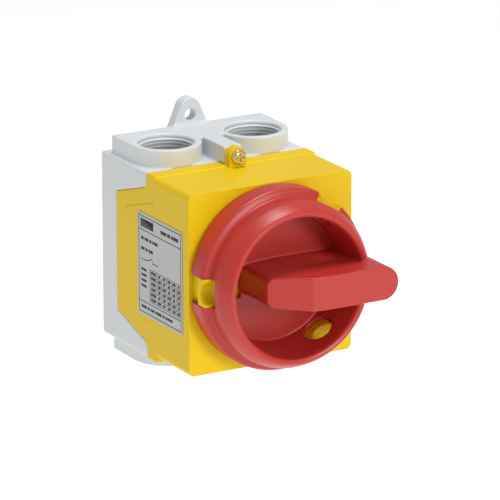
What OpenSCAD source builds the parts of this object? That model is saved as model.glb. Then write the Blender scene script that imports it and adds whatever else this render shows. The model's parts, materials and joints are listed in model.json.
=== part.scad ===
// Enclosed rotary isolator switch for a wall, three poles, shown switched off.
// Each module is drawn lying on its back: x is right, y is up, z is the distance out from the wall.
// upright() then stands it up, so that the wall is the plane y = 0 and the front faces -Y.

/* [Enclosure] */
// Width over the cover's side panels
cover_w = 76.9; // [70:0.5:95]
// Height of the base housing without its bosses and lugs
base_h = 79.8; // [74:0.2:110]
// Depth of the base housing, from the wall to its front rim
base_d = 39; // [34:0.5:50]
// Thickness of the back, top and bottom walls of the base
base_wall = 2.6; // [2:0.1:3.5]
// Thickness of the side walls of the base, which the aprons are let into
side_wall = 4.6; // [4:0.1:6]
// Radius of the corners of the base and the cover flange
corner_r = 1.4; // [0.5:0.1:3]
// Space left between parts that are fitted together
fit_gap = 0.1; // [0.05:0.01:0.2]
// Running clearance, on the radius, of what turns in a bore
run_gap = 0.05; // [0.02:0.01:0.1]

/* [Cable entries] */
// Core radius of the M25 x 1.5 entry thread
entry_r = 11.69; // [7:0.01:12.5]
// Depth of that thread's flanks, seen at the mouth of each entry
thread_depth = 0.81; // [0.4:0.01:1]
// Sideways distance between the two entries
entry_spacing = 41.4; // [36:0.2:50]
// Distance of the entries from the wall
entry_out = 24.5; // [20:0.5:26]
// Wall of the round boss outside the thread
boss_wall = 2.5; // [1.5:0.1:3]
// Height of the upper bosses above the base
top_boss_h = 7.6; // [7.4:0.1:14]
// Height of the lower bosses below the base
low_boss_h = 5.9; // [4:0.1:7]
// Distance from the wall to the bosses' back edge
boss_back = 5.1; // [2:0.1:6]

/* [Wall lugs] */
// Distance between the two lug holes
lug_spacing = 102.2; // [98:0.2:150]
// Sideways place of the lugs
lug_x = 1.8; // [0:0.1:6]
// Radius of the lug holes
lug_hole_r = 2.5; // [1.5:0.1:3]
// Radius of the lug's rounded tip
lug_tip_r = 5; // [4:0.1:7]
// Half the width of each lug where it meets the base's back
lug_foot = 12.2; // [9:0.1:16]
// Distance from the lug hole to the end of the lug
lug_end = 7.4; // [5.5:0.1:10]
// Thickness of the lugs
lug_t = 5; // [3:0.1:6]

/* [Cover] */
// Wall thickness of the cover
cover_wall = 2.4; // [1.8:0.1:3]
// How far the side panels stand out past the aprons
panel_step = 0.5; // [0.3:0.1:1]
// Depth of the cover's screw flange
flange_d = 7.6; // [5.6:0.1:9]
// How far the cover's box is set in below the flange, at the top
top_step = 0.5; // [0.4:0.1:3]
// The same at the bottom
low_step = 2; // [0.5:0.1:4]
// Distance from the wall to the back edge of the aprons
apron_back = 12.9; // [8:0.5:14]
// Half the height of the aprons at their back edge
apron_half = 25.7; // [20:0.1:28]
// Radius of the long edges of the cover's box
edge_r = 2.5; // [0.5:0.1:3]
// Depth of the cover's front wall
front_wall = 2.6; // [2:0.1:4]
// Space between the switch block and the outside of the cover's front
head_room = 16.9; // [16.9:0.1:30]

/* [Cover screws] */
// Radius of the cover screws' shanks
screw_r = 1.7; // [1.2:0.1:2]
// Radius of the cover screws' pan heads
screw_head_r = 3.15; // [2.6:0.05:3.6]
// Height of the upper screw above the base
top_screw_up = 3.9; // [3.6:0.1:4.6]
// Height of the lower screw below the base
low_screw_up = 1.9; // [1.8:0.1:3]
// Radius of the ear round each screw
ear_r = 4.1; // [3.8:0.1:5]

/* [Handle] */
// Outer radius of the handle's skirt
skirt_r = 38.7; // [36:0.1:48]
// Depth of the skirt
skirt_d = 9.2; // [8:0.1:14]
// Radius of the bowl's outer wall where it meets the skirt
bowl_r = 35.3; // [34:0.1:36]
// Thickness of the bowl's wall at the floor
bowl_wall = 7.4; // [6:0.1:9]
// Depth of the bowl, from the handle's back to its lip
bowl_d = 24.6; // [20:0.1:32]
// Thickness of the bowl's floor
floor_t = 2; // [1.5:0.1:3]
// Width of the grip bar
grip_w = 14.3; // [12:0.1:18]
// Distance from the handle's back to the front of the grip
grip_d = 35.2; // [28:0.1:42]
// Reach of the grip's pointing end from the axis
grip_reach = 39.7; // [36:0.1:46]
// Width of the grip at its tail end
tail_w = 12.8; // [9:0.1:14]
// Distance of the tail end from the axis
tail_end = 15.2; // [9:0.1:16]
// Slope of the tail's facet in degrees
tail_slope = 36; // [20:1:45]
// Height of the handle's axis above the middle of the base
axis_up = 0.8; // [0:0.1:1.5]
// Gap between the handle's back and the cover
handle_gap = 0.3; // [0.2:0.05:0.6]

/* [Padlocking] */
// Angle of the outer two padlock channels from the grip's pointing end
channel_angle = 55; // [45:0.5:60]
// Width of each padlock channel
channel_w = 11.6; // [8:0.1:13]
// Height of each channel above the handle's back
channel_d = 14.8; // [12:0.1:16]
// Radius of the round opening of each channel in the bowl
port_r = 6.5; // [5:0.1:7]
// Height of that opening's middle above the handle's back
port_up = 9.8; // [9:0.1:11]
// Width of the floor slot below the grip's tail
tail_slot_w = 14.8; // [12:0.1:16]
// Height of the lock ring above the cover
ring_h = 5.8; // [4.5:0.1:7]
// Inner radius of the lock ring
ring_in_r = 30.5; // [30:0.1:31.5]
// Outer radius of the lock ring at the cover
ring_out_r = 36.4; // [36:0.1:37.2]
// Radius of the saddle groove that the shackle lies in
saddle_r = 5; // [4:0.1:6]

/* [Hub] */
// Radius of the hub in the cover's bore
hub_r = 11; // [9:0.1:13]
// Length of the hub behind the cover's face
hub_len = 13.2; // [12.5:0.1:13.5]
// Side of the square spindle
spindle_side = 6; // [5:0.1:7]
// Depth of the hub's square socket
socket_d = 6; // [5:0.1:8]

/* [Switch block] */
// Width of the switch block
block_w = 40; // [38:0.5:44]
// Height of the switch block
block_h = 44; // [42:0.5:48]
// Depth of one pole
pole_pitch = 12; // [11:0.1:15]
// Depth of the detent housing
detent_d = 12; // [11:0.1:15]
// Space between the base's back wall and the rear plate
post_h = 4.4; // [3:0.1:8]
// Thickness of the rear and front plates
plate_t = 2; // [1.5:0.1:3]
// Radius that the blade tips sweep
blade_r = 13; // [12:0.1:13.5]
// Width of the contact blades
blade_w = 6; // [5:0.1:7]
// Thickness of the contact blades
blade_t = 2; // [1.5:0.1:2.5]
// Radius of the contact drums
drum_r = 10; // [9.5:0.1:10.5]
// Radius of the drums' and the detent wheel's journals
journal_r = 6.5; // [6:0.1:7]
// Radius of the detent wheel
wheel_r = 9.4; // [9:0.1:10.5]
// Radius of the rollers on the detent springs
roller_r = 2.5; // [2:0.1:3]

/* [Terminals] */
// Radius of the terminal screws
terminal_r = 1.4; // [1.2:0.1:1.6]
// Length of the earth and neutral terminal blocks
bar_len = 16; // [12:0.5:18]
// Width of the earth and neutral terminal blocks
bar_w = 7; // [6:0.1:8]

/* [Label] */
// Length of the rating label, along the depth
label_d = 38; // [20:0.2:40]
// Height of the rating label
label_h = 44; // [30:0.2:46]
// Distance from the wall to the label's middle
label_out = 51.8; // [48:0.1:54]
// Height of the label's middle above the middle of the base
label_up = 0.5; // [-2:0.1:3]
// Thickness of the rating label
label_t = 0.3; // [0.2:0.05:0.5]

/* [Hidden] */
$fn = 96;
poles = 3;
eps = 0.01;
over = 1;

// Enclosure
base_w = cover_w - 2 * panel_step;
inner_w = base_w - 2 * side_wall;
inner_h = base_h - 2 * base_wall;
apron_t = side_wall / 2;
mouth_gap = 0.2;
flange_back = base_d + mouth_gap;
flange_front = flange_back + flange_d;
flange_top = base_h / 2 + fit_gap;
body_top = flange_top - top_step;
body_low = -flange_top + low_step;
rear_front = base_wall + post_h + plate_t;
block_front = rear_front + poles * pole_pitch + detent_d + plate_t;
cover_front = block_front + head_room;

// Cable entries
boss_r = entry_r + thread_depth + boss_wall;
entry_x = entry_spacing / 2;
boss_half = entry_x + boss_r;
slab_front = entry_out + 1.9;
ridge_w = 2 * ear_r - 0.2;
ridge_front = flange_back + 5.2;
ear_front = flange_front + 2;

// Handle, counted out from the wall
handle_back = cover_front + handle_gap;
skirt_top = handle_back + skirt_d;
lip_top = handle_back + bowl_d;
grip_top = handle_back + grip_d;
floor_top = handle_back + floor_t;
floor_r = bowl_r - bowl_wall;
rim_in = 3.6;
rim_fall = 6;
ring_edge = 1.6;
ring_side = cover_front + 3.4;
ring_top = cover_front + ring_h;
ring_clear = 0.4;
channels = [180, channel_angle, -channel_angle];
slot_in = tail_end + 0.3;
tail_round = 3;
facet_top = grip_top - 0.8;
facet_x = 5.5;
foot_r = skirt_r - 0.7;
saddle_back = ring_top + 2 * ring_clear;
saddle_front = saddle_back + 5.5;
tenon_w = 16;
tenon_h = 7;
tenon_d = 10;

// Hub and spindle
hub_back = cover_front - hub_len;
socket_end = hub_back + socket_d;
hub_screw_r = 1.6;
hub_head_r = spindle_side / 2 - 0.1;
hub_head_t = 2.4;
clip_t = 1.1;
clip_back = hub_back + 4;
clip_in = hub_r - 1;
clip_out = hub_r + 2;
collar_back = clip_back + clip_t + 0.4;
collar_r = hub_r + 4.5;
seal_r = 1;
seal_out = (collar_back + cover_front) / 2;
spindle_back = base_wall + post_h + 0.5;
spindle_front = socket_end - 0.5;

// Switch block
block_back = rear_front;
detent_back = block_back + poles * pole_pitch;
stack_x = block_w / 2 - 3.5;
stack_y = block_h / 2 - 4;
foot_x = block_w / 2 + 3.5;
foot_w = 7.5;
cavity_r = blade_r + 0.5;
strip_in = blade_r + run_gap;
strip_t = 1.6;
pad_y = 15;
pad_w = 6;
pad_h = 5;
clamp_t = 0.8;
roller_at = wheel_r + 1.2;
notch_r = roller_r + 0.15;
leaf_t = 0.8;
bar_x = inner_w / 2 - bar_w / 2 - 1.2;
bar_y = -inner_h / 2 + bar_len / 2 + 2;
bar_back = base_wall + 2.4;
bar_t = 8;

// Helpers
module upright() rotate([90, 0, 0]) children();

// From the x-z plane seen from above to a slab that hangs down from y = 0
module from_above(h) rotate([90, 0, 0]) linear_extrude(h) children();

// From an outline of [out, up] to a slab that grows in +x
module from_side(t) rotate([0, 90, 0]) linear_extrude(t) mirror([1, 0]) children();

module both_sides() {
    children();
    mirror([1, 0, 0]) children();
}

module block(x0, x1, y0, y1, z0, z1) {
    translate([x0, y0, z0]) cube([x1 - x0, y1 - y0, z1 - z0]);
}

module rounded(w, h, r) {
    square([w - 2 * r, h], center = true);
    square([w, h - 2 * r], center = true);
    for (x = [-1, 1], y = [-1, 1]) translate([x * (w / 2 - r), y * (h / 2 - r)]) circle(r);
}

module at_axis() translate([0, axis_up, 0]) children();

// The outline of the cover's apron and of its raised panel, as [out, up]
module apron_outline(grow) {
    back = apron_back - grow;
    half = apron_half + grow;
    knee = flange_back - 2.1;
    edge = flange_back - mouth_gap / 2;
    rise = (knee - back) * tan(17);
    polygon([
        [back, -half], [knee, -half - rise], [edge, -half - rise - 2.2], [edge, -flange_top],
        [flange_front, -flange_top], [flange_front, flange_top], [edge, flange_top],
        [edge, half + rise + 2.2], [knee, half + rise], [back, half]
    ]);
}

module panel_outline() {
    back = apron_back + 8.4;
    half = apron_half - 4.7;
    knee = flange_front - 1.3;
    rise = (knee - back) * tan(17);
    polygon([
        [back, -half], [knee, -half - rise], [flange_front, -half - rise - 2],
        [flange_front + over, -half - rise - 2], [flange_front + over, half + rise + 2],
        [flange_front, half + rise + 2], [knee, half + rise], [back, half]
    ]);
}

// A hanging lug: straight sides that run tangent into the round tip
module lug_outline() {
    tip = lug_spacing / 2 + lug_end - lug_tip_r;
    foot = base_h / 2 - 2;
    side_r = lug_tip_r - 0.03;
    reach = norm([lug_foot, tip - foot]);
    turn = atan2(tip - foot, -lug_foot) - asin(side_r / reach);
    run = sqrt(reach * reach - side_r * side_r);
    touch = [lug_foot + run * cos(turn), foot + run * sin(turn)];
    translate([0, tip]) circle(lug_tip_r);
    polygon([[-lug_foot, foot], [lug_foot, foot], touch, [-touch[0], touch[1]]]);
}

// One row of cable-entry bosses with the screw ridge, as a plan of [x, out]
module boss_plan() {
    translate([-boss_half, boss_back]) square([2 * boss_half, entry_out - boss_back]);
    translate([-entry_x, boss_back]) square([2 * entry_x, slab_front - boss_back]);
    translate([-ridge_w / 2, boss_back]) square([ridge_w, ridge_front - boss_back]);
    for (s = [-1, 1]) translate([s * entry_x, entry_out]) circle(boss_r);
}

module boss_row(h, screw_up) {
    difference() {
        translate([0, base_h / 2 + h, 0]) from_above(h + base_wall) boss_plan();
        block(-boss_half - over, boss_half + over, 0, flange_top + fit_gap, base_d, ridge_front + boss_r);
        block(-boss_half, boss_half, 0, base_h / 2 - base_wall, 0, base_d + over);
    }
}

module entry_bores(h) {
    for (s = [-1, 1]) translate([s * entry_x, base_h / 2 + h, entry_out]) rotate([90, 0, 0]) {
        translate([0, 0, -over]) cylinder(r = entry_r, h = h + base_wall + 2 * over);
        translate([0, 0, -over]) {
            cylinder(r1 = entry_r + thread_depth + over, r2 = entry_r, h = thread_depth + over);
        }
    }
}

// A pan head with a cross recess, standing out from z = 0, and its shank behind it
module cross_screw(shank_r, head_r, head_h, len) {
    cap = 0.35 * head_h;
    slot = 0.28 * head_r;
    difference() {
        union() {
            cylinder(r = head_r, h = head_h - cap);
            translate([0, 0, head_h - cap]) cylinder(r1 = head_r, r2 = 0.72 * head_r, h = cap);
            translate([0, 0, -len]) cylinder(r = shank_r, h = len + eps);
        }
        for (a = [0, 90]) rotate(a) {
            block(-0.6 * head_r, 0.6 * head_r, -slot / 2, slot / 2, head_h / 2, head_h + over);
        }
    }
}

module base_housing() color("gainsboro") upright() {
    difference() {
        union() {
            linear_extrude(base_d) rounded(base_w, base_h, corner_r);
            boss_row(top_boss_h);
            mirror([0, 1, 0]) boss_row(low_boss_h);
            for (m = [0, 1]) mirror([0, m, 0]) translate([lug_x, 0, 0]) linear_extrude(lug_t) lug_outline();
        }
        block(-inner_w / 2, inner_w / 2, -inner_h / 2, inner_h / 2, base_wall, base_d + over);
        entry_bores(top_boss_h);
        mirror([0, 1, 0]) entry_bores(low_boss_h);
        both_sides() translate([base_w / 2 - apron_t - fit_gap, 0, 0]) from_side(apron_t + over) {
            apron_outline(fit_gap);
        }
        for (s = [-1, 1]) translate([lug_x, s * lug_spacing / 2, -over]) {
            cylinder(r = lug_hole_r, h = lug_t + 2 * over);
        }
        translate([0, base_h / 2 + top_screw_up, ridge_front - 14]) cylinder(r = screw_r + run_gap, h = 20);
        translate([0, -base_h / 2 - low_screw_up, ridge_front - 14]) cylinder(r = screw_r + run_gap, h = 20);
        translate([0, 0, base_d - 0.8]) linear_extrude(over) gasket_outline(fit_gap / 2);
    }
    for (s = [-1, 1]) difference() {
        translate([s * foot_x, axis_up, base_wall / 2]) cylinder(r = 3.4, h = post_h + base_wall / 2);
        translate([s * foot_x, axis_up, base_wall + 0.6]) cylinder(r = 1.45, h = post_h);
    }
    for (s = [-1, 1]) difference() {
        block(s * bar_x - 3, s * bar_x + 3, bar_y - bar_len / 2, bar_y + bar_len / 2, base_wall / 2, bar_back);
        translate([s * bar_x, bar_y, base_wall + 0.4]) cylinder(r = 1.3, h = 4);
    }
}

// The flat ring between base and cover
module gasket_outline(grow) {
    mid_w = inner_w + apron_t;
    mid_h = inner_h + base_wall;
    wide = 1.4 + 2 * grow;
    difference() {
        square([mid_w + wide, mid_h + wide], center = true);
        square([mid_w - wide, mid_h - wide], center = true);
    }
}

// A slab of the cover's box, w wide
module body_slab(w, z0, z1) {
    translate([0, (body_top + body_low) / 2, z0]) linear_extrude(z1 - z0) {
        rounded(w, body_top - body_low, edge_r);
    }
}

module ear(y) {
    translate([0, y, ridge_front]) cylinder(r = ear_r, h = ear_front - ridge_front);
    if (y > 0) block(-ear_r, ear_r, body_top - 1, y, ridge_front, ear_front);
    else block(-ear_r, ear_r, y, body_low + 1, ridge_front, ear_front);
}

module cover() color("gold") upright() {
    top_screw = base_h / 2 + top_screw_up;
    low_screw = -base_h / 2 - low_screw_up;
    difference() {
        union() {
            difference() {
                translate([0, 0, flange_back]) linear_extrude(flange_d) {
                    rounded(base_w, 2 * flange_top, corner_r);
                }
                block(-inner_w / 2, inner_w / 2, -inner_h / 2, inner_h / 2,
                    flange_back - over, flange_front + over);
            }
            difference() {
                union() {
                    body_slab(base_w, flange_front - 2.4, flange_front + over);
                    body_slab(cover_w, flange_front, cover_front);
                    both_sides() translate([base_w / 2 - apron_t, 0, 0]) {
                        from_side(apron_t + panel_step) panel_outline();
                    }
                }
                block(-cover_w / 2 + cover_wall, cover_w / 2 - cover_wall, body_low + cover_wall,
                    body_top - cover_wall, flange_front, cover_front - front_wall);
                block(-inner_w / 2, inner_w / 2, body_low + cover_wall, body_top - cover_wall,
                    flange_front - 2.4 - over, flange_front + over);
            }
            both_sides() translate([base_w / 2 - apron_t, 0, 0]) from_side(apron_t) apron_outline(0);
            ear(top_screw);
            ear(low_screw);
            at_axis() translate([0, 0, collar_back]) cylinder(r = collar_r, h = cover_front - collar_back);
        }
        at_axis() {
            translate([0, 0, collar_back - over]) cylinder(r = hub_r + run_gap, h = cover_front);
            translate([0, 0, seal_out - seal_r - fit_gap]) {
                cylinder(r = hub_r + 2 * seal_r + 2 * run_gap, h = 2 * seal_r + 2 * fit_gap);
            }
            for (a = [45:90:315]) rotate(a) translate([ring_mid(), 0, cover_front - front_wall - over]) {
                cylinder(r = 1.5 + run_gap, h = front_wall + 2 * over);
            }
        }
        translate([0, top_screw, ridge_front - over]) cylinder(r = screw_r + 0.3, h = 10);
        translate([0, low_screw, flange_back - over]) cylinder(r = screw_r + 0.3, h = 14);
        translate([0, 0, flange_back - eps]) linear_extrude(0.8) gasket_outline(fit_gap / 2);
    }
}

module cover_gasket() color("dimgray") upright() {
    translate([0, 0, base_d - 0.75]) linear_extrude(mouth_gap + 1.5) gasket_outline(0);
}

module cover_screws() color("silver") upright() {
    translate([0, base_h / 2 + top_screw_up, ear_front]) cross_screw(screw_r, screw_head_r, 2.1, 16);
    translate([0, -base_h / 2 - low_screw_up, ear_front]) cross_screw(screw_r, screw_head_r, 2.1, 16);
}

module rating_label() color("lightgray") upright() {
    translate([-cover_w / 2, label_up, label_out]) rotate([0, -90, 0]) linear_extrude(label_t) {
        rounded(label_d, label_h, 1.4);
    }
}

function ring_mid() = (ring_in_r + ring_out_r) / 2;

module lock_ring() color("gold") upright() at_axis() {
    rotate_extrude($fn = 120) polygon([
        [ring_in_r, cover_front], [ring_out_r, cover_front], [ring_out_r, ring_side],
        [ring_out_r - ring_edge, ring_top], [ring_in_r, ring_top]
    ]);
    for (a = [45:90:315]) rotate(a) translate([ring_mid(), 0, cover_front - front_wall]) {
        cylinder(r = 1.5, h = front_wall + eps);
    }
}

module grip_outline() {
    half = grip_w / 2;
    tail = tail_w / 2;
    corner = [for (a = [90:15:180]) [tail_round * (cos(a) + 1) - tail_end, tail_round * (sin(a) - 1) + tail]];
    low_corner = [for (a = [180:15:270]) [tail_round * (cos(a) + 1) - tail_end, tail_round * (sin(a) + 1) - tail]];
    tip = grip_reach - half;
    translate([tip, 0]) circle(half);
    polygon(concat([[tip, -half], [tip, half], [0, half]], corner, low_corner, [[0, -half]]));
}

module handle() color("firebrick") upright() at_axis() {
    rim = [for (t = [0:0.2:1]) [bowl_r - rim_in * t, lip_top - rim_fall * pow(1 - t, 1.5)]];
    difference() {
        union() {
            rotate_extrude($fn = 160) polygon(concat([
                [0, handle_back], [ring_in_r - ring_clear, handle_back],
                [ring_in_r - ring_clear, ring_top + ring_clear],
                [ring_out_r - ring_edge + ring_clear, ring_top + ring_clear],
                [ring_out_r + ring_clear, ring_side + ring_clear], [ring_out_r + ring_clear, handle_back],
                [foot_r, handle_back], [skirt_r, handle_back + 2.1], [skirt_r, skirt_top],
                [skirt_r - 0.6, skirt_top + 0.9], [bowl_r + 0.4, skirt_top + 1.6], [bowl_r, skirt_top + 2.6]
            ], rim, [
                [floor_r + 2.2, lip_top - 0.6], [floor_r + 1.7, lip_top - 1.8],
                [floor_r + 0.4, floor_top + 0.6], [floor_r, floor_top], [0, floor_top]
            ]));
            intersection() {
                translate([0, 0, handle_back]) linear_extrude(grip_d) grip_outline();
                union() {
                    cylinder(r = floor_r + 1, h = 2 * grip_top);
                    block(0, 2 * skirt_r, -grip_w, grip_w, skirt_top, 2 * grip_top);
                }
                rotate([90, 0, 0]) translate([0, 0, -grip_w]) linear_extrude(2 * grip_w) polygon([
                    [0, facet_top], [facet_x, grip_top], [2 * skirt_r, grip_top], [2 * skirt_r, 0],
                    [-skirt_r, 0], [-skirt_r, facet_top - skirt_r * tan(tail_slope)]
                ]);
            }
        }
        for (a = channels) rotate(a) {
            block(ring_in_r - ring_clear, 2 * skirt_r, -channel_w / 2, channel_w / 2,
                0, handle_back + channel_d);
            translate([floor_r - 4, 0, handle_back + port_up]) rotate([0, 90, 0]) {
                cylinder(r = port_r, h = ring_in_r - floor_r + 4.5);
            }
        }
        block(-floor_r - 0.4, -slot_in, -tail_slot_w / 2, tail_slot_w / 2, 0, floor_top + over);
        block(-tenon_w / 2 - fit_gap, tenon_w / 2 + fit_gap, -tenon_h / 2 - fit_gap, tenon_h / 2 + fit_gap,
            0, handle_back + tenon_d + fit_gap);
        cylinder(r = hub_screw_r + run_gap, h = handle_back + tenon_d + 13);
    }
}

// The shackle rests in the handle, one in each channel
module shackle_saddles() color("gold") upright() at_axis() for (a = channels) rotate(a) difference() {
    block(ring_in_r - ring_clear, foot_r, -channel_w / 2, channel_w / 2, saddle_back, saddle_front);
    translate([ring_in_r - over, 0, saddle_front + over]) rotate([0, 90, 0]) {
        cylinder(r = saddle_r, h = skirt_r);
    }
}

module handle_hub() color("dimgray") upright() at_axis() {
    socket = spindle_side / 2 + fit_gap;
    difference() {
        union() {
            translate([0, 0, hub_back]) cylinder(r = hub_r, h = hub_len + handle_gap);
            block(-tenon_w / 2, tenon_w / 2, -tenon_h / 2, tenon_h / 2, cover_front, handle_back + tenon_d);
        }
        difference() {
            translate([0, 0, clip_back - fit_gap]) cylinder(r = hub_r + over, h = clip_t + 2 * fit_gap);
            translate([0, 0, clip_back - over]) cylinder(r = clip_in - fit_gap, h = clip_t + 2 * over);
        }
        block(-socket, socket, -socket, socket, hub_back - over, socket_end);
        translate([0, 0, socket_end - eps]) cylinder(r = hub_head_r + fit_gap, h = hub_head_t + fit_gap);
        cylinder(r = hub_screw_r + 0.3, h = 2 * handle_back);
    }
}

module hub_screw() color("silver") upright() at_axis() {
    translate([0, 0, socket_end + hub_head_t]) rotate([180, 0, 0]) {
        shank = handle_back + tenon_d + 11 - socket_end - hub_head_t;
        cross_screw(hub_screw_r, hub_head_r, hub_head_t - 0.2, shank);
    }
}

module hub_clip() color("slategray") upright() at_axis() translate([0, 0, clip_back]) difference() {
    cylinder(r = clip_out, h = clip_t);
    translate([0, 0, -over]) cylinder(r = clip_in, h = clip_t + 2 * over);
    block(-2.5, 2.5, -2 * clip_out, 0, -over, clip_t + over);
}

module hub_seal() color("black") upright() at_axis() {
    translate([0, 0, seal_out]) rotate_extrude() {
        translate([hub_r + run_gap + seal_r, 0]) circle(seal_r, $fn = 24);
    }
}

module spindle() color("silver") upright() at_axis() {
    half = spindle_side / 2;
    block(-half, half, -half, half, spindle_back, spindle_front);
}

// A square hole for the spindle, through everything
module spindle_hole() {
    half = spindle_side / 2 + run_gap;
    block(-half, half, -half, half, 0, cover_front);
}

// Two diagonal holes for the screws that hold the block together
module stack_holes(r) {
    for (s = [-1, 1]) translate([s * stack_x, s * stack_y, 0]) cylinder(r = r, h = cover_front);
}

module block_slab(z0, z1) {
    translate([0, 0, z0]) linear_extrude(z1 - z0) rounded(block_w, block_h, 2);
}

module front_plate() color("whitesmoke") upright() at_axis() difference() {
    block_slab(block_front - plate_t, block_front);
    cylinder(r = journal_r + run_gap, h = cover_front);
    stack_holes(1.5 + run_gap);
}

module detent_housing() color("lightslategray") upright() at_axis() {
    pocket = roller_at + 5.4;
    difference() {
        block_slab(detent_back, detent_back + detent_d);
        translate([0, 0, detent_back + 1.2]) cylinder(r = wheel_r + 0.8, h = detent_d);
        block(-pocket, pocket, -8, 8, detent_back + 1.2, detent_back + detent_d + over);
        cylinder(r = journal_r + run_gap, h = cover_front);
        stack_holes(1.5 + run_gap);
    }
}

module detent_wheel() color("ivory") upright() at_axis() difference() {
    union() {
        translate([0, 0, detent_back + 1.4]) cylinder(r = wheel_r, h = detent_d - 1.6);
        translate([0, 0, detent_back + fit_gap]) cylinder(r = journal_r, h = detent_d + plate_t - 2 * fit_gap);
    }
    for (a = [0:90:270]) rotate(a) {
        translate([roller_at, 0, detent_back + 1.3]) cylinder(r = notch_r, h = detent_d);
    }
    spindle_hole();
}

module detent_springs() color("silver") upright() at_axis() {
    leaf_z = detent_back + 2.4;
    leaf_h = detent_d - 3.4;
    both_sides() {
        translate([roller_at, 0, leaf_z]) cylinder(r = roller_r, h = leaf_h);
        block(roller_at + roller_r - 0.3, roller_at + roller_r + leaf_t, -7.8, 7.8, leaf_z, leaf_z + leaf_h);
        for (s = [-1, 1]) block(roller_at + roller_r, roller_at + 5.2, s * 7.3 - 0.5, s * 7.3 + 0.5,
            leaf_z, leaf_z + leaf_h);
    }
}

module pole_frame(n) color("lightslategray") upright() at_axis() {
    z = block_back + (n - 1) * pole_pitch;
    difference() {
        block_slab(z, z + pole_pitch);
        translate([0, 0, z + 1.2]) cylinder(r = cavity_r, h = pole_pitch);
        translate([0, 0, z - over]) cylinder(r = journal_r + run_gap, h = pole_pitch);
        for (s = [0, 1]) mirror([0, s, 0]) {
            block(-pad_w / 2 - 0.2, pad_w / 2 + 0.2, 0, pad_y + pad_h + 0.2, z + 2, z + pole_pitch - 1);
            block(-4.2, 4.2, pad_y + pad_h, block_h, z + 1.4, z + pole_pitch - 0.6);
        }
        stack_holes(1.5 + run_gap);
    }
}

function blade_z(n) = block_back + (n - 1) * pole_pitch + pole_pitch / 2 - blade_t / 2;

module contact_blade(n) color("peru") upright() at_axis() translate([0, 0, blade_z(n)]) {
    half = spindle_side / 2 + run_gap;
    difference() {
        union() {
            cylinder(r = journal_r, h = blade_t);
            intersection() {
                cylinder(r = blade_r, h = blade_t);
                block(-2 * blade_r, 2 * blade_r, -blade_w / 2, blade_w / 2, 0, blade_t);
            }
        }
        block(-half, half, -half, half, -over, blade_t + over);
    }
}

module contact_drum(n) color("darkslategray") upright() at_axis() {
    z = block_back + (n - 1) * pole_pitch;
    difference() {
        union() {
            translate([0, 0, z + 1.4]) cylinder(r = drum_r, h = pole_pitch - 1.6);
            translate([0, 0, z + fit_gap]) cylinder(r = journal_r, h = pole_pitch - 2 * fit_gap);
        }
        translate([0, 0, blade_z(n) - fit_gap]) {
            cylinder(r = journal_r + fit_gap, h = blade_t + 2 * fit_gap);
            block(-2 * drum_r, 2 * drum_r, -blade_w / 2 - fit_gap, blade_w / 2 + fit_gap,
                0, blade_t + 2 * fit_gap);
        }
        spindle_hole();
    }
}

module fixed_contacts(n) color("darkgoldenrod") upright() at_axis() {
    mid = blade_z(n) + blade_t / 2;
    for (s = [0, 1]) mirror([0, s, 0]) difference() {
        union() {
            block(-pad_w / 2, pad_w / 2, 0, pad_y + pad_h, mid - strip_t / 2, mid + strip_t / 2);
            block(-pad_w / 2, pad_w / 2, pad_y, pad_y + pad_h, mid - 3, mid + 3);
        }
        translate([0, 0, mid - 5]) cylinder(r = strip_in, h = 10);
        translate([0, pad_y + pad_h + over, mid]) rotate([90, 0, 0]) {
            cylinder(r = terminal_r + run_gap, h = pad_h);
        }
    }
}

// Runs its children at every line and load terminal, with z pointing out of the terminal
module at_terminals() {
    for (n = [1:poles], s = [0, 1]) mirror([0, s, 0]) {
        translate([0, pad_y + pad_h, blade_z(n) + blade_t / 2]) rotate([-90, 0, 0]) children();
    }
}

module terminal_clamps() color("goldenrod") upright() at_axis() at_terminals() difference() {
    block(-3.4, 3.4, -3.4, 3.4, 0, clamp_t);
    translate([0, 0, -over]) cylinder(r = terminal_r + run_gap, h = clamp_t + 2 * over);
}

module terminal_screws() color("silver") upright() at_axis() at_terminals() {
    translate([0, 0, clamp_t]) cross_screw(terminal_r, 2.8, 2, clamp_t + pad_h - 1.4);
}

module rear_plate() color("lightslategray") upright() at_axis() difference() {
    union() {
        block_slab(base_wall + post_h, rear_front);
        block(-foot_x - 3.5, foot_x + 3.5, -foot_w / 2, foot_w / 2, base_wall + post_h, rear_front);
    }
    translate([0, 0, base_wall + post_h + 0.4]) cylinder(r = spindle_side * 0.75, h = plate_t);
    for (s = [-1, 1]) translate([s * foot_x, 0, 0]) cylinder(r = 1.7, h = cover_front);
    stack_holes(1.2 + run_gap);
}

module stack_screws() color("silver") upright() at_axis() {
    grip = block_front - rear_front;
    for (s = [-1, 1]) translate([s * stack_x, s * stack_y, block_front]) {
        cross_screw(1.5, 2.6, 1.8, grip - fit_gap);
        translate([0, 0, -grip - plate_t + 0.3]) cylinder(r = 1.2, h = plate_t);
    }
}

module block_screws() color("silver") upright() at_axis() {
    for (s = [-1, 1]) translate([s * foot_x, 0, rear_front]) cross_screw(1.4, 2.8, 1.9, plate_t + post_h - 0.9);
}

// A tapped bar with two clamp screws and a wire hole across it at each screw
module tapped_bar(s) difference() {
    block(s * bar_x - bar_w / 2, s * bar_x + bar_w / 2, bar_y - bar_len / 2, bar_y + bar_len / 2,
        bar_back, bar_back + bar_t);
    for (k = [-1, 1]) translate([s * bar_x, bar_y + k * bar_len / 4, bar_back]) {
        translate([0, 0, bar_t / 2]) cylinder(r = terminal_r + run_gap, h = bar_t);
        translate([-bar_w, 0, bar_t * 0.42]) rotate([0, 90, 0]) cylinder(r = 1.9, h = 2 * bar_w);
    }
}

module bar_screws(s) {
    for (k = [-1, 1]) translate([s * bar_x, bar_y + k * bar_len / 4, bar_back + bar_t + 0.6]) {
        cross_screw(terminal_r, 2.4, 1.8, 3.4);
    }
}

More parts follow.
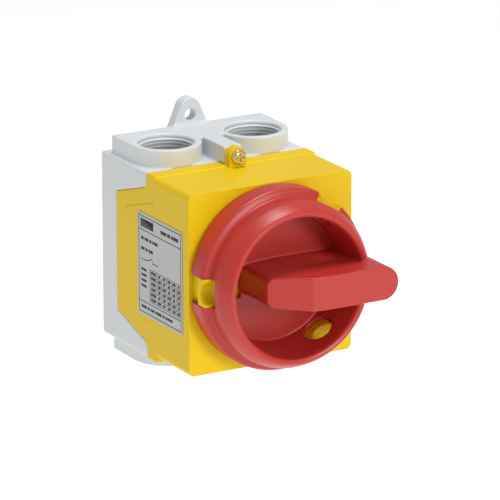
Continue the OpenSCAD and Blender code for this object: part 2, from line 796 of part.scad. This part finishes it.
module earth_terminal() color("yellowgreen") upright() tapped_bar(-1);
module neutral_terminal() color("steelblue") upright() tapped_bar(1);
module earth_screws() color("silver") upright() bar_screws(-1);
module neutral_screws() color("silver") upright() bar_screws(1);

base_housing();
cover();
cover_gasket();
cover_screws();
rating_label();
lock_ring();
handle();
shackle_saddles();
handle_hub();
hub_screw();
hub_clip();
hub_seal();
spindle();
front_plate();
detent_housing();
detent_wheel();
detent_springs();
pole_frame(1);  // pole_frame_1
pole_frame(2);  // pole_frame_2
pole_frame(3);  // pole_frame_3
contact_drum(1);  // contact_drum_1
contact_drum(2);  // contact_drum_2
contact_drum(3);  // contact_drum_3
contact_blade(1);  // contact_blade_1
contact_blade(2);  // contact_blade_2
contact_blade(3);  // contact_blade_3
fixed_contacts(1);  // fixed_contacts_1
fixed_contacts(2);  // fixed_contacts_2
fixed_contacts(3);  // fixed_contacts_3
terminal_screws();
terminal_clamps();
rear_plate();
stack_screws();
block_screws();
earth_terminal();
earth_screws();
neutral_terminal();
neutral_screws();
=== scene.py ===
import json
from math import cos, pi, radians, sin

import bmesh
import bpy
from mathutils import Matrix, Vector


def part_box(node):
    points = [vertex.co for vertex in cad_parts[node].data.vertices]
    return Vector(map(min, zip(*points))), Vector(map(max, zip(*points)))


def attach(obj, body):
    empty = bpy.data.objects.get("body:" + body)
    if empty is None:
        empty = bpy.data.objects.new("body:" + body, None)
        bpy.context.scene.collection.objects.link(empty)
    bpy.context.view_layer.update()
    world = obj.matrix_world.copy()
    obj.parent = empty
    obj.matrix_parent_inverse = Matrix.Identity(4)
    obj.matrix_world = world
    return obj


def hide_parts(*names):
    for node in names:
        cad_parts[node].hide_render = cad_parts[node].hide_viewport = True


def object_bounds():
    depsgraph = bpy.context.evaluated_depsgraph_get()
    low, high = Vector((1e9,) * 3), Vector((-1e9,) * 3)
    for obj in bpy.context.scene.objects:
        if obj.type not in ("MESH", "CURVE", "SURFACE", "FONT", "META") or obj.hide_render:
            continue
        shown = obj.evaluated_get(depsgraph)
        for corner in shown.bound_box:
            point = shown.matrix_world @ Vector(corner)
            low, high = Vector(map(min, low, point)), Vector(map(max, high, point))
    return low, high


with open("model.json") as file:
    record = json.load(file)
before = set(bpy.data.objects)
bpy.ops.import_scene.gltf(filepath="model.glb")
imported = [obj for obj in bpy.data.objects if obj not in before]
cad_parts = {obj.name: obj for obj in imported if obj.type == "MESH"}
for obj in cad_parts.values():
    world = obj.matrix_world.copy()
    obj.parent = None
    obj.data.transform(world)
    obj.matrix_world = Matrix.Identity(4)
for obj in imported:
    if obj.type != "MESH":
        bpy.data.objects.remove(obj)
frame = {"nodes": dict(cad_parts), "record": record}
cad_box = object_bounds()
MM = 0.001


# ---------------------------------------------------------------------------------------------
# Base housing: the light grey box that is screwed to the wall, injection moulded in glass-filled
# polycarbonate with a fine eroded grain. It is one moulding with its lugs, bosses and posts.
# ---------------------------------------------------------------------------------------------

class Wire:
    """One socket of a shader. Arithmetic on it adds Math nodes to its finish."""

    def __init__(self, finish, socket):
        self.finish, self.socket = finish, socket

    def _maths(self, operation, first, second):
        return self.finish.node("ShaderNodeMath", {"operation": operation}, {0: first, 1: second})

    def __add__(self, other):
        return self._maths("ADD", self, other)

    def __radd__(self, other):
        return self._maths("ADD", other, self)

    def __sub__(self, other):
        return self._maths("SUBTRACT", self, other)

    def __rsub__(self, other):
        return self._maths("SUBTRACT", other, self)

    def __mul__(self, other):
        return self._maths("MULTIPLY", self, other)

    def __rmul__(self, other):
        return self._maths("MULTIPLY", other, self)

    def __truediv__(self, other):
        return self._maths("DIVIDE", self, other)

    def __rtruediv__(self, other):
        return self._maths("DIVIDE", other, self)

    def __pow__(self, other):
        return self._maths("POWER", self, other)

    def over(self, edge, width):
        """0 below edge, 1 above edge + width, smooth in between."""
        return self.finish.node("ShaderNodeMapRange", {"interpolation_type": "SMOOTHSTEP"},
                                {"Value": self, "From Min": edge, "From Max": edge + width})


class Finish:
    """A material being made. node() adds any node: its type, its settings, then its sockets."""

    def __init__(self, name):
        self.material = bpy.data.materials.new(name)
        self.material.use_nodes = True
        self.tree = self.material.node_tree
        self.tree.nodes.clear()
        self.place = self.node("ShaderNodeTexCoord", out="Object")

    def node(self, kind, settings=None, sockets=None, out=0):
        new = self.tree.nodes.new(kind)
        for key, value in (settings or {}).items():
            setattr(new, key, value)
        for key, value in (sockets or {}).items():
            if isinstance(value, Wire):
                self.tree.links.new(value.socket, new.inputs[key])
            else:
                new.inputs[key].default_value = value
        return Wire(self, new.outputs[out])

    def noise(self, size, detail=2.0, rough=0.5, stretch=(1, 1, 1)):
        """Noise with blobs of about this size in metres, 0 to 1."""
        place = self.place
        if stretch != (1, 1, 1):
            place = self.node("ShaderNodeMapping", None, {"Vector": place, "Scale": stretch})
        values = {"Vector": place, "Scale": 1 / size, "Detail": detail, "Roughness": rough}
        return self.node("ShaderNodeTexNoise", {"noise_dimensions": "3D"}, values, "Fac")

    def mix(self, amount, a, b):
        return self.node("ShaderNodeMix", {"data_type": "RGBA"}, {0: amount, 6: a, 7: b}, 2)

    def bump(self, height, depth, strength=1.0, normal=None):
        sockets = {"Height": height, "Distance": depth, "Strength": strength}
        if normal is not None:
            sockets["Normal"] = normal
        return self.node("ShaderNodeBump", None, sockets, "Normal")

    def shade(self, **sockets):
        """Closes the material with a Principled shader, whose sockets go here by short names."""
        names = {"colour": "Base Color", "rough": "Roughness", "metal": "Metallic", "normal": "Normal",
                 "specular": "Specular IOR Level", "glow_colour": "Emission Color",
                 "glow": "Emission Strength"}
        shader = self.node("ShaderNodeBsdfPrincipled", None, {names[k]: v for k, v in sockets.items()})
        output = self.tree.nodes.new("ShaderNodeOutputMaterial")
        self.tree.links.new(shader.socket, output.inputs["Surface"])
        return self.material


def rgb(red, green, blue):
    """A colour read off a swatch, 0 to 255 a channel, as the shader's linear colour."""
    def linear(c):
        c /= 255
        return c / 12.92 if c <= 0.04045 else ((c + 0.055) / 1.055) ** 2.4
    return linear(red), linear(green), linear(blue), 1.0


def shaded(colour, amount):
    """The same colour, darker below 1 and lighter above."""
    return tuple(c * amount for c in colour[:3]) + (1.0,)


def moulded(name, colour, grain=0.00022, grain_depth=0.000010, rough=0.42, cloud=0.04, gleam=0.5):
    """Injection-moulded plastic: eroded grain, faint flow clouds and a few fine rub marks."""
    f = Finish(name)
    clouds = f.noise(0.018, 3.0, 0.55)
    specks = f.noise(0.0009, 2.0, 0.6)
    fine = f.noise(grain, 2.0, 0.7)
    rubs = f.noise(0.006, 4.0, 0.75, (1, 1, 0.22)).over(0.60, 0.12)
    tint = f.mix(clouds, shaded(colour, 1 - cloud), shaded(colour, 1 + cloud))
    tint = f.mix(specks.over(0.58, 0.2) * 0.25, tint, shaded(colour, 0.90))
    roughness = rough + (fine - 0.5) * 0.10 + (clouds - 0.5) * 0.12 - rubs * 0.07
    normal = f.bump(fine, grain_depth, 0.9)
    normal = f.bump(clouds, 0.00006, 0.5, normal)
    return f.shade(colour=tint, rough=roughness, normal=normal, specular=gleam)


def bare_mesh(bm, name):
    """A new object from a bmesh, smooth except over sharp edges, at the origin."""
    mesh = bpy.data.meshes.new(name)
    bm.to_mesh(mesh)
    bm.free()
    for layer in ("custom_normal", "sharp_face"):
        if layer in mesh.attributes:
            mesh.attributes.remove(mesh.attributes[layer])
    mesh.shade_smooth()
    made = bpy.data.objects.new(name, mesh)
    bpy.context.scene.collection.objects.link(made)
    return made


def merged_copy(node):
    """A bmesh of a CAD node with its corners merged and its flat faces whole."""
    bm = bmesh.new()
    bm.from_mesh(frame["nodes"][node].data)
    bmesh.ops.remove_doubles(bm, verts=bm.verts, dist=0.003 * MM)
    bmesh.ops.dissolve_degenerate(bm, edges=bm.edges, dist=0.002 * MM)
    bmesh.ops.dissolve_limit(bm, angle_limit=radians(0.4), use_dissolve_boundaries=False,
                             verts=bm.verts, edges=bm.edges, delimit={"NORMAL"})
    bmesh.ops.recalc_face_normals(bm, faces=bm.faces)
    return bm


def fitted(piece, finish, body, slot, *nodes):
    """Gives a finished piece its material, its body and the CAD nodes it stands for. The slot argument
    is not used.
    """
    piece.data.materials.clear()
    piece.data.materials.append(finish)
    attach(piece, body)
    if nodes:
        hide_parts(*nodes)
    return piece


def cast(piece, skin, passes, keep):
    """Rounds every edge as a mould does: an even skin over the shape, relaxed and then thinned."""
    even = piece.modifiers.new("even_skin", "REMESH")
    even.mode, even.voxel_size, even.use_smooth_shade = "VOXEL", skin, True
    relaxed = piece.modifiers.new("mould_radius", "SMOOTH")
    relaxed.factor, relaxed.iterations = 0.5, passes
    thinned = piece.modifiers.new("thinned", "DECIMATE")
    thinned.ratio = keep


grey_plastic = moulded("grey_plastic", rgb(214, 217, 219))
housing = bare_mesh(merged_copy("base_housing"), "base_housing_moulding")
cast(housing, 0.36 * MM, 3, 0.22)
fitted(housing, grey_plastic, "enclosure", "grey_plastic", "base_housing")


# ---------------------------------------------------------------------------------------------
# Entry threads: the turns tapped into the four round bosses for cable glands, 1.5 mm a turn.
# Each is one ridge of the housing's own grey plastic that winds down the bore from its mouth.
# ---------------------------------------------------------------------------------------------

def entry_thread(entry):
    """The ridge in one entry: a triangle wound into a helix by a spin that also advances."""
    pitch, turns, steps = 1.5 * MM, 5, 48
    core = entry["dims"]["r_mm"] * MM
    root, crest, half = core + 0.08 * MM, core - 0.62 * MM, 0.62 * MM
    outward = Vector(entry["axis"])
    mouth = Vector(entry["pos_m"]) + outward * (entry["dims"]["length_mm"] / 2 * MM - half)
    bm = bmesh.new()
    corners = [bm.verts.new((r, 0, z)) for r, z in ((root, half), (crest, 0), (root, -half))]
    start = bm.faces.new(corners)
    bmesh.ops.spin(bm, geom=[start, *start.edges, *start.verts], cent=(0, 0, 0), axis=(0, 0, 1),
                   dvec=(0, 0, -pitch / steps), angle=2 * pi * turns, steps=steps * turns,
                   use_duplicate=False)
    bmesh.ops.holes_fill(bm, edges=[e for e in bm.edges if e.is_boundary], sides=3)
    bmesh.ops.recalc_face_normals(bm, faces=bm.faces)
    along = outward.to_track_quat("Z", "X").to_matrix().to_4x4()
    bmesh.ops.transform(bm, matrix=Matrix.Translation(mouth) @ along, verts=bm.verts)
    return bm


for mount in frame["record"]["mounts"]:
    if mount["kind"] == "threaded_hole":
        thread = bare_mesh(entry_thread(mount), mount["name"] + "_thread")
        thread.data.set_sharp_from_angle(angle=radians(40))
        fitted(thread, grey_plastic, "enclosure", "grey_plastic")


# ---------------------------------------------------------------------------------------------
# Cover gasket: a square cord of black rubber, pressed into a groove round the housing's rim.
# It is squeezed between housing and cover, so only its material is worked on here.
# ---------------------------------------------------------------------------------------------

def refinished(finish, *nodes):
    """Gives CAD parts whose shape stays as it is their worked-up material."""
    for node in nodes:
        for held in frame["nodes"][node].material_slots:
            held.material = finish


rubber = moulded("rubber", rgb(38, 38, 40), grain=0.0003, grain_depth=0.000014, rough=0.72, cloud=0.10)
refinished(rubber, "cover_gasket")


# ---------------------------------------------------------------------------------------------
# Cover: the signal-yellow front box, moulded in one with its screw flange, its two side aprons
# and the raised panels on them. It sits on the gasket, held by a screw at the top and bottom.
# ---------------------------------------------------------------------------------------------

yellow_plastic = moulded("yellow_plastic", rgb(230, 194, 0), rough=0.42, cloud=0.02, gleam=0.22)
cover = bare_mesh(merged_copy("cover"), "cover_moulding")
cast(cover, 0.28 * MM, 3, 0.165)
fitted(cover, yellow_plastic, "enclosure", "yellow_plastic", "cover")


# ---------------------------------------------------------------------------------------------
# Cover screws: two pan-head machine screws with a cross recess, steel under bright zinc with a
# faint yellow passivation. They pull the cover's ears down on the housing's ridges.
# ---------------------------------------------------------------------------------------------

def metal(name, colour, rough=0.30, size=0.0016, stretch=(1, 1, 1), marks=0.35, depth=0.000012):
    """Bare or plated metal: soft clouds, fine working marks along one way, and dull spots."""
    f = Finish(name)
    clouds = f.noise(0.004, 3.0, 0.6)
    lines = f.noise(size, 4.0, 0.65, stretch)
    dull = f.noise(0.0012, 3.0, 0.7).over(0.62, 0.10)
    tint = f.mix(clouds, shaded(colour, 0.90), shaded(colour, 1.06))
    tint = f.mix(dull * marks, tint, shaded(colour, 0.55))
    roughness = rough + (lines - 0.5) * 0.16 + dull * 0.22
    normal = f.bump(lines, depth, 0.7)
    return f.shade(colour=tint, metal=1.0, rough=roughness, normal=normal)


def soften(piece, width, segments=2, angle=28):
    """The small mould radius on every edge, kept live as a Bevel."""
    piece.data.set_sharp_from_angle(angle=radians(angle))
    bevel = piece.modifiers.new("mould_radius", "BEVEL")
    bevel.width, bevel.segments, bevel.profile = width, segments, 0.5
    bevel.limit_method, bevel.angle_limit = "ANGLE", radians(angle)
    bevel.use_clamp_overlap = False
    bevel.harden_normals = True
    bevel.miter_outer = "MITER_ARC"
    return piece


zinc = metal("zinc_steel", rgb(226, 219, 190), rough=0.24)
screws = bare_mesh(merged_copy("cover_screws"), "cover_screw_pair")
soften(screws, 0.14 * MM, 2)
fitted(screws, zinc, "enclosure", "zinc_steel", "cover_screws")


# ---------------------------------------------------------------------------------------------
# Rating label: a silver foil sticker on the left panel, printed in dark ink. All wording is left
# out: plain bars stand where text would be, with a header, a switch symbol and a ruled table.
# ---------------------------------------------------------------------------------------------

f = Finish("label_foil")
brushing = f.noise(0.0006, 3.0, 0.6, (1, 0.06, 1))
tone = f.mix(f.noise(0.01, 2.0), rgb(176, 179, 177), rgb(190, 193, 191))
label_foil = f.shade(colour=f.mix(brushing, tone, rgb(182, 184, 184)), metal=0.15,
                     rough=0.42 + (brushing - 0.5) * 0.12, normal=f.bump(brushing, 0.000004, 0.5))
label = bare_mesh(merged_copy("rating_label"), "rating_label_foil")
soften(label, 0.06 * MM, 2)
fitted(label, label_foil, "enclosure", "label_foil", "rating_label")

label_low, label_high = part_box("rating_label")
LABEL_W = label_high[1] - label_low[1]
LABEL_H = label_high[2] - label_low[2]
INK = 0.03 * MM


def stroke(bm, start, end, width):
    """A flat bar of ink. Places are parts of the label, across from the wall side, then down."""
    ends = [Vector((0, label_high[1] - u * LABEL_W, label_high[2] - v * LABEL_H))
            for u, v in (start, end)]
    run = ends[1] - ends[0]
    ahead, outward = run.normalized(), Vector((1, 0, 0))
    turn = Matrix((ahead, outward.cross(ahead), outward)).transposed()
    middle = (ends[0] + ends[1]) / 2 + Vector((label_low[0], 0, 0))
    shape = Matrix.Diagonal((run.length, width, INK, 1))
    bmesh.ops.create_cube(bm, size=1, matrix=Matrix.Translation(middle) @ turn.to_4x4() @ shape)


def words(bm, start, v, lengths, width):
    """A row of bars where a line of text would stand."""
    u = start
    for length in lengths:
        stroke(bm, (u, v), (u + length, v), width)
        u += length + 0.018


bm = bmesh.new()
LINE = 0.40 * MM
for start, end in (((0.03, 0.03), (0.97, 0.03)), ((0.97, 0.025), (0.97, 0.975)),
                   ((0.97, 0.97), (0.03, 0.97)), ((0.03, 0.975), (0.03, 0.025)),
                   ((0.03, 0.165), (0.97, 0.165))):
    stroke(bm, start, end, LINE)
stroke(bm, (0.07, 0.095), (0.36, 0.095), 3.6 * MM)
words(bm, 0.52, 0.10, (0.13, 0.07, 0.16), 1.5 * MM)
words(bm, 0.08, 0.245, (0.06, 0.09, 0.05, 0.12), 1.3 * MM)
words(bm, 0.08, 0.345, (0.08, 0.05, 0.10), 1.3 * MM)
for start, end in (((0.08, 0.45), (0.20, 0.45)), ((0.20, 0.45), (0.33, 0.412)),
                   ((0.34, 0.45), (0.46, 0.45)), ((0.34, 0.435), (0.34, 0.465))):
    stroke(bm, start, end, 0.4 * MM)
COLUMNS = [0.27, 0.43, 0.54, 0.65, 0.76, 0.87, 0.97]
ROWS = [0.52 + 0.053 * k for k in range(7)]
for u in COLUMNS:
    stroke(bm, (u, ROWS[0]), (u, ROWS[-1]), 0.26 * MM)
for v in ROWS:
    stroke(bm, (COLUMNS[0], v), (COLUMNS[-1], v), 0.26 * MM)
for across, (left, right) in enumerate(zip(COLUMNS, COLUMNS[1:])):
    for down, (top, foot) in enumerate(zip(ROWS, ROWS[1:])):
        inset = 0.018 + 0.012 * ((across * 3 + down * 5) % 4) / 3
        stroke(bm, (left + inset, (top + foot) / 2), (right - inset, (top + foot) / 2), 1.2 * MM)
for down in range(4):
    stroke(bm, (0.08, ROWS[down] + 0.03), (0.20, ROWS[down] + 0.03), 1.1 * MM)
stroke(bm, (0.03, 0.865), (0.97, 0.865), LINE)
words(bm, 0.08, 0.915, (0.12, 0.05, 0.09, 0.14, 0.05, 0.16), 1.2 * MM)
print_mesh = bare_mesh(bm, "label_print")
f = Finish("label_ink")
patchy = f.noise(0.0006, 2.0, 0.6)
label_ink = f.shade(colour=f.mix(patchy, rgb(30, 31, 33), rgb(46, 48, 50)), rough=0.5 + patchy * 0.1)
fitted(print_mesh, label_ink, "enclosure", "label_foil")


# ---------------------------------------------------------------------------------------------
# Lock ring: a yellow moulded ring pegged into the cover's face under the handle. It closes the
# gap behind the handle's channels, so that a shackle cannot be worked out sideways.
# ---------------------------------------------------------------------------------------------

ring = bare_mesh(merged_copy("lock_ring"), "lock_ring_moulding")
soften(ring, 0.3 * MM)
fitted(ring, yellow_plastic, "enclosure", "yellow_plastic", "lock_ring")


# ---------------------------------------------------------------------------------------------
# Handle: the signal-red dished moulding, bowl and grip bar in one, with a soft radius on every
# edge. Three channels are cut through its skirt for padlocks, and a slot below the bar's tail.
# ---------------------------------------------------------------------------------------------

red_plastic = moulded("red_plastic", rgb(186, 50, 42), rough=0.36, cloud=0.03, gleam=0.45)
handle = bare_mesh(merged_copy("handle"), "handle_moulding")
cast(handle, 0.32 * MM, 4, 0.30)
fitted(handle, red_plastic, "handle", "red_plastic", "handle")


# ---------------------------------------------------------------------------------------------
# Shackle saddles: yellow moulded rests pressed into the handle's three channels. A padlock's
# shackle lies in the hollow of one of them, and they show up when the handle may be locked.
# ---------------------------------------------------------------------------------------------

saddles = bare_mesh(merged_copy("shackle_saddles"), "shackle_saddle_mouldings")
soften(saddles, 0.3 * MM)
fitted(saddles, yellow_plastic, "handle", "yellow_plastic", "shackle_saddles")


# ---------------------------------------------------------------------------------------------
# Hub and its fastenings: black nylon turned to a running fit in the cover's bore, keyed into
# the handle by a tenon, held by a screw and by a spring-steel clip, and sealed by a rubber ring.
# ---------------------------------------------------------------------------------------------

black_nylon = moulded("black_nylon", rgb(52, 52, 55), grain=0.0003, rough=0.46, cloud=0.06)
spring_steel = metal("spring_steel", rgb(150, 152, 158), rough=0.34, stretch=(1, 1, 0.15),
                     marks=0.5)
refinished(black_nylon, "handle_hub")
refinished(zinc, "hub_screw")
refinished(spring_steel, "hub_clip")
refinished(rubber, "hub_seal")


# ---------------------------------------------------------------------------------------------
# Spindle: a square bar of bright drawn steel, cut to length. Its drawing lines run along it,
# from the handle's hub through the detent wheel and all three contact drums.
# ---------------------------------------------------------------------------------------------

drawn_steel = metal("steel", rgb(190, 192, 195), rough=0.28, size=0.0008, stretch=(1, 0.05, 1))
refinished(drawn_steel, "spindle")


# ---------------------------------------------------------------------------------------------
# Switch block: three pole frames between a front plate, a detent housing and a rear plate, all
# pressed in dark grey thermoset, with fine flow marks and slightly chalky mould faces.
# ---------------------------------------------------------------------------------------------

block_plastic = moulded("block_plastic", rgb(92, 97, 104), grain=0.00035, grain_depth=0.000014,
                        rough=0.55, cloud=0.09)
refinished(block_plastic, "front_plate", "detent_housing", "pole_frame_1", "pole_frame_2",
           "pole_frame_3", "rear_plate")


# ---------------------------------------------------------------------------------------------
# Detent: a white acetal wheel with four hollows, turned by the spindle, and two bent leaves of
# spring steel with a roller nose that drops into the hollows at each quarter turn.
# ---------------------------------------------------------------------------------------------

white_nylon = moulded("white_nylon", rgb(228, 224, 212), grain=0.0003, rough=0.36, cloud=0.03)
refinished(white_nylon, "detent_wheel")
refinished(spring_steel, "detent_springs")


# ---------------------------------------------------------------------------------------------
# Contacts: a black nylon drum on the spindle in each pole carries a copper blade that bridges
# two fixed brass contacts, stamped from strip and darkened a little where they have arced.
# ---------------------------------------------------------------------------------------------

copper = metal("copper", rgb(203, 132, 98), rough=0.30, size=0.001, stretch=(0.1, 1, 1), marks=0.6)
brass = metal("brass", rgb(205, 175, 105), rough=0.28, size=0.001, stretch=(1, 1, 0.12), marks=0.5)
for pole in (1, 2, 3):
    refinished(black_nylon, f"contact_drum_{pole}")
    refinished(copper, f"contact_blade_{pole}")
    refinished(brass, f"fixed_contacts_{pole}")


# ---------------------------------------------------------------------------------------------
# Terminals and screws: zinc-plated clamp plates and pan-head screws on each contact, the stack
# screws and mounting screws of the block, and the brass earth and neutral bars with theirs.
# ---------------------------------------------------------------------------------------------

refinished(zinc, "terminal_screws", "terminal_clamps", "stack_screws", "block_screws",
           "earth_screws", "neutral_screws")
refinished(brass, "earth_terminal", "neutral_terminal")


# ---------------------------------------------------------------------------------------------
# Studio: a pale paper floor well below the switch, as if it stood on a clear support, a soft
# light in front and to the right, a wider and stronger one overhead, white walls, and the camera.
# ---------------------------------------------------------------------------------------------

AZIMUTH, ELEVATION, ROLL, DISTANCE = radians(-29.63), radians(16.99), radians(-0.10), 2.01065
back = Vector((sin(AZIMUTH) * cos(ELEVATION), -cos(AZIMUTH) * cos(ELEVATION), sin(ELEVATION)))
target = Vector((0.00774, -0.045, 0.00139))
camera_data = bpy.data.cameras.new("camera")
camera_data.sensor_width, camera_data.lens, camera_data.clip_end = 36, 347.9, 30
camera = bpy.data.objects.new("camera", camera_data)
bpy.context.scene.collection.objects.link(camera)
camera.location = target + DISTANCE * back
turned = back.to_track_quat("Z", "Y").to_matrix() @ Matrix.Rotation(ROLL, 3, "Z")
camera.rotation_euler = turned.to_euler()
bpy.context.scene.camera = camera


def soft_light(name, place, size, power):
    """A round area light that faces the switch."""
    data = bpy.data.lights.new(name, "AREA")
    data.shape, data.size, data.energy = "DISK", size, power
    lamp = bpy.data.objects.new(name, data)
    bpy.context.scene.collection.objects.link(lamp)
    lamp.location = place
    lamp.rotation_euler = (Vector(place) - target).to_track_quat("Z", "Y").to_euler()


soft_light("key_light", (0.32, -1.80, 0.50), 0.5, 11.5)
soft_light("top_light", (0.10, -0.10, 1.80), 0.8, 18.5)

FLOOR_DROP = 0.14
bm = bmesh.new()
bmesh.ops.create_grid(bm, x_segments=1, y_segments=1, size=8)
floor = bare_mesh(bm, "floor")
floor.data.transform(Matrix.Translation((0, 0, cad_box[0][2] - FLOOR_DROP)))
f = Finish("floor_paper")
paper = f.mix(f.noise(0.05, 3.0), rgb(246, 246, 246), rgb(250, 250, 250))
floor_paper = f.shade(colour=paper, rough=0.9, specular=0.0, glow_colour=paper, glow=0.32)
floor.data.materials.append(floor_paper)

world = bpy.data.worlds.new("studio")
world.use_nodes = True
world.node_tree.nodes["Background"].inputs["Color"].default_value = (1, 1, 1, 1)
world.node_tree.nodes["Background"].inputs["Strength"].default_value = 0.46
bpy.context.scene.world = world
bpy.context.scene.view_settings.view_transform = "Standard"
